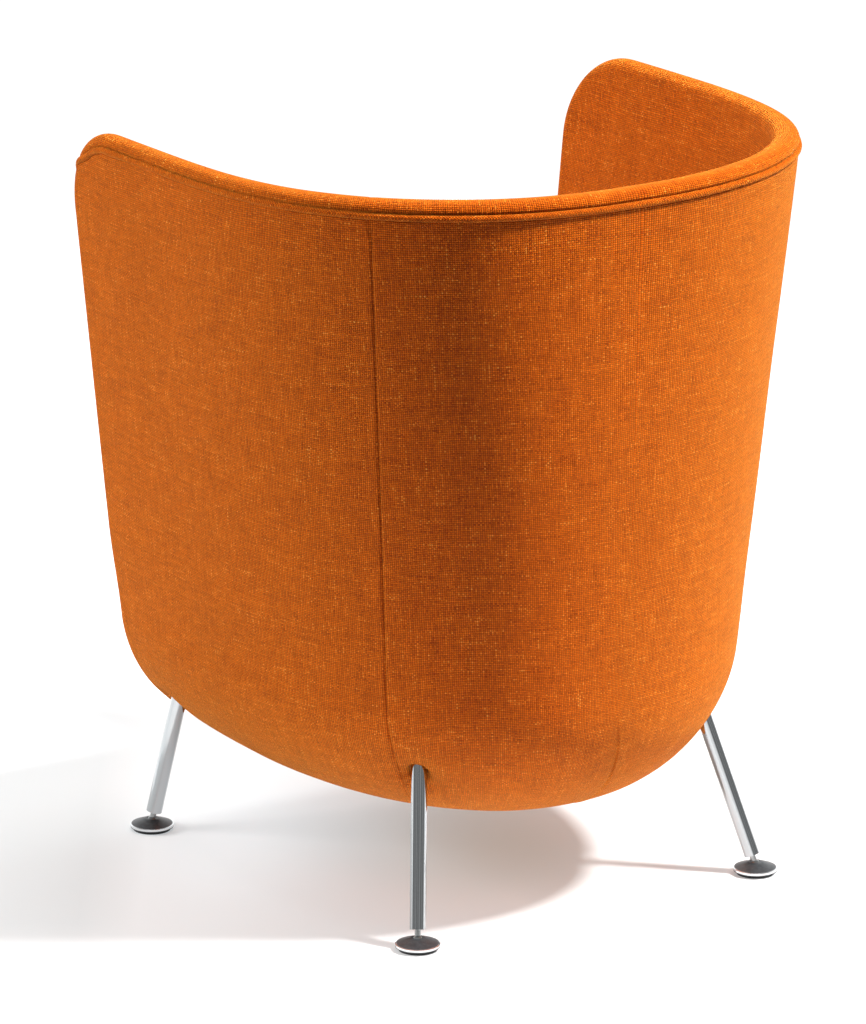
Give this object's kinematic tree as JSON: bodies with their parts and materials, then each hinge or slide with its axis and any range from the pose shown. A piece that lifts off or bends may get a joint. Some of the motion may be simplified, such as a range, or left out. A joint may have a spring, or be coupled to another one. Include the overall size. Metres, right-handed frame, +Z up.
{
  "type": "tub chair",
  "caption": "Upholstered tub chair with a high wrapped back and arms, a welted rim and splayed chromed tube legs with tilting glides.",
  "frame": {"origin": "on the floor, under the middle of the chair's box", "axes": "+X to the left of a person who sits in the chair, -Y to the front, +Z up"},
  "size_m": [0.6352, 0.5822, 0.7549],
  "materials": {
    "orange_cloth": "coarse woven melange cloth, matte",
    "leg_chrome": "polished",
    "black_pad": "matte",
    "white_nylon": "smooth",
    "zinc_steel": "zinc plated",
    "socket_steel": "black, satin",
    "shell_plastic": "moulded, satin",
    "plywood": "sanded",
    "beech": "planed",
    "foam": "open-cell foam",
    "wadding": "bonded fibre",
    "felt": "needled felt",
    "webbing": "elastic webbing",
    "black_cloth": "non-woven cloth"
  },
  "bodies": {
    "root": {"tub_shell": "shell_plastic", "seat_board": "plywood", "ledge_blocks": "beech", "board_screws": "zinc_steel", "webbing_long": "webbing", "webbing_cross": "webbing", "webbing_staples": "zinc_steel", "webbing_pad": "felt", "seat_foam": "foam", "seat_cover": "orange_cloth", "front_board": "plywood", "front_pad": "foam", "front_cover": "orange_cloth", "front_screws": "zinc_steel", "inner_foam": "foam", "edge_roll": "foam", "inner_cover": "orange_cloth", "outer_wadding": "wadding", "outer_cover_left": "orange_cloth", "outer_cover_back": "orange_cloth", "outer_cover_right": "orange_cloth", "welt_cord": "orange_cloth", "dust_cover": "black_cloth", "dust_staples": "zinc_steel", "socket_screws": "zinc_steel", "tee_nuts": "zinc_steel", "leg_socket_front_left": "socket_steel", "leg_tube_front_left": "leg_chrome", "leg_insert_front_left": "zinc_steel", "leg_socket_front_right": "socket_steel", "leg_tube_front_right": "leg_chrome", "leg_insert_front_right": "zinc_steel", "leg_socket_rear_left": "socket_steel", "leg_tube_rear_left": "leg_chrome", "leg_insert_rear_left": "zinc_steel", "leg_socket_rear_right": "socket_steel", "leg_tube_rear_right": "leg_chrome", "leg_insert_rear_right": "zinc_steel"},
    "carriage_front_left": {"ball_cup_front_left": "white_nylon"},
    "stem_front_left": {"glide_stem_front_left": "zinc_steel"},
    "glide_front_left": {"glide_cone_front_left": "leg_chrome", "glide_pad_front_left": "black_pad"},
    "carriage_front_right": {"ball_cup_front_right": "white_nylon"},
    "stem_front_right": {"glide_stem_front_right": "zinc_steel"},
    "glide_front_right": {"glide_cone_front_right": "leg_chrome", "glide_pad_front_right": "black_pad"},
    "carriage_rear_left": {"ball_cup_rear_left": "white_nylon"},
    "stem_rear_left": {"glide_stem_rear_left": "zinc_steel"},
    "glide_rear_left": {"glide_cone_rear_left": "leg_chrome", "glide_pad_rear_left": "black_pad"},
    "carriage_rear_right": {"ball_cup_rear_right": "white_nylon"},
    "stem_rear_right": {"glide_stem_rear_right": "zinc_steel"},
    "glide_rear_right": {"glide_cone_rear_right": "leg_chrome", "glide_pad_rear_right": "black_pad"}
  },
  "joints": [
    {"name": "level_front_left", "type": "slide", "parent": "root", "child": "carriage_front_left", "axis": [0.1808, -0.1221, -0.9759], "range_m": [-0.003, 0.012]},
    {"name": "screw_front_left", "type": "hinge", "parent": "carriage_front_left", "child": "stem_front_left", "pos_m": [0.234, -0.24025, 0.009], "axis": [0.1808, -0.1221, -0.9759], "range_deg": [-864.5, 3456.5]},
    {"name": "tilt_front_left", "type": "hinge", "parent": "stem_front_left", "child": "glide_front_left", "pos_m": [0.234, -0.24025, 0.009], "axis": [0.5596, 0.8288, 0], "range_deg": [-38.6, 13.4]},
    {"name": "level_front_right", "type": "slide", "parent": "root", "child": "carriage_front_right", "axis": [-0.1808, -0.1221, -0.9759], "range_m": [-0.003, 0.012]},
    {"name": "screw_front_right", "type": "hinge", "parent": "carriage_front_right", "child": "stem_front_right", "pos_m": [-0.234, -0.24025, 0.009], "axis": [-0.1808, -0.1221, -0.9759], "range_deg": [-864.5, 3456.5]},
    {"name": "tilt_front_right", "type": "hinge", "parent": "stem_front_right", "child": "glide_front_right", "pos_m": [-0.234, -0.24025, 0.009], "axis": [0.5596, -0.8288, 0], "range_deg": [-38.6, 13.4]},
    {"name": "level_rear_left", "type": "slide", "parent": "root", "child": "carriage_rear_left", "axis": [0.2024, 0.2898, -0.9354], "range_m": [-0.003, 0.012]},
    {"name": "screw_rear_left", "type": "hinge", "parent": "carriage_rear_left", "child": "stem_rear_left", "pos_m": [0.2025, 0.20775, 0.009], "axis": [0.2024, 0.2898, -0.9354], "range_deg": [-864.5, 3456.5]},
    {"name": "tilt_rear_left", "type": "hinge", "parent": "stem_rear_left", "child": "glide_rear_left", "pos_m": [0.2025, 0.20775, 0.009], "axis": [-0.8199, 0.5725, 0], "range_deg": [-46.7, 5.3]},
    {"name": "level_rear_right", "type": "slide", "parent": "root", "child": "carriage_rear_right", "axis": [-0.2024, 0.2898, -0.9354], "range_m": [-0.003, 0.012]},
    {"name": "screw_rear_right", "type": "hinge", "parent": "carriage_rear_right", "child": "stem_rear_right", "pos_m": [-0.2025, 0.20775, 0.009], "axis": [-0.2024, 0.2898, -0.9354], "range_deg": [-864.5, 3456.5]},
    {"name": "tilt_rear_right", "type": "hinge", "parent": "stem_rear_right", "child": "glide_rear_right", "pos_m": [-0.2025, 0.20775, 0.009], "axis": [-0.8199, -0.5725, 0], "range_deg": [-46.7, 5.3]}
  ],
  "couplings": [
    {"joint": "screw_front_left", "follows": "level_front_left", "rad_per_m": 5026.5},
    {"joint": "screw_front_right", "follows": "level_front_right", "rad_per_m": 5026.5},
    {"joint": "screw_rear_left", "follows": "level_rear_left", "rad_per_m": 5026.5},
    {"joint": "screw_rear_right", "follows": "level_rear_right", "rad_per_m": 5026.5}
  ]
}
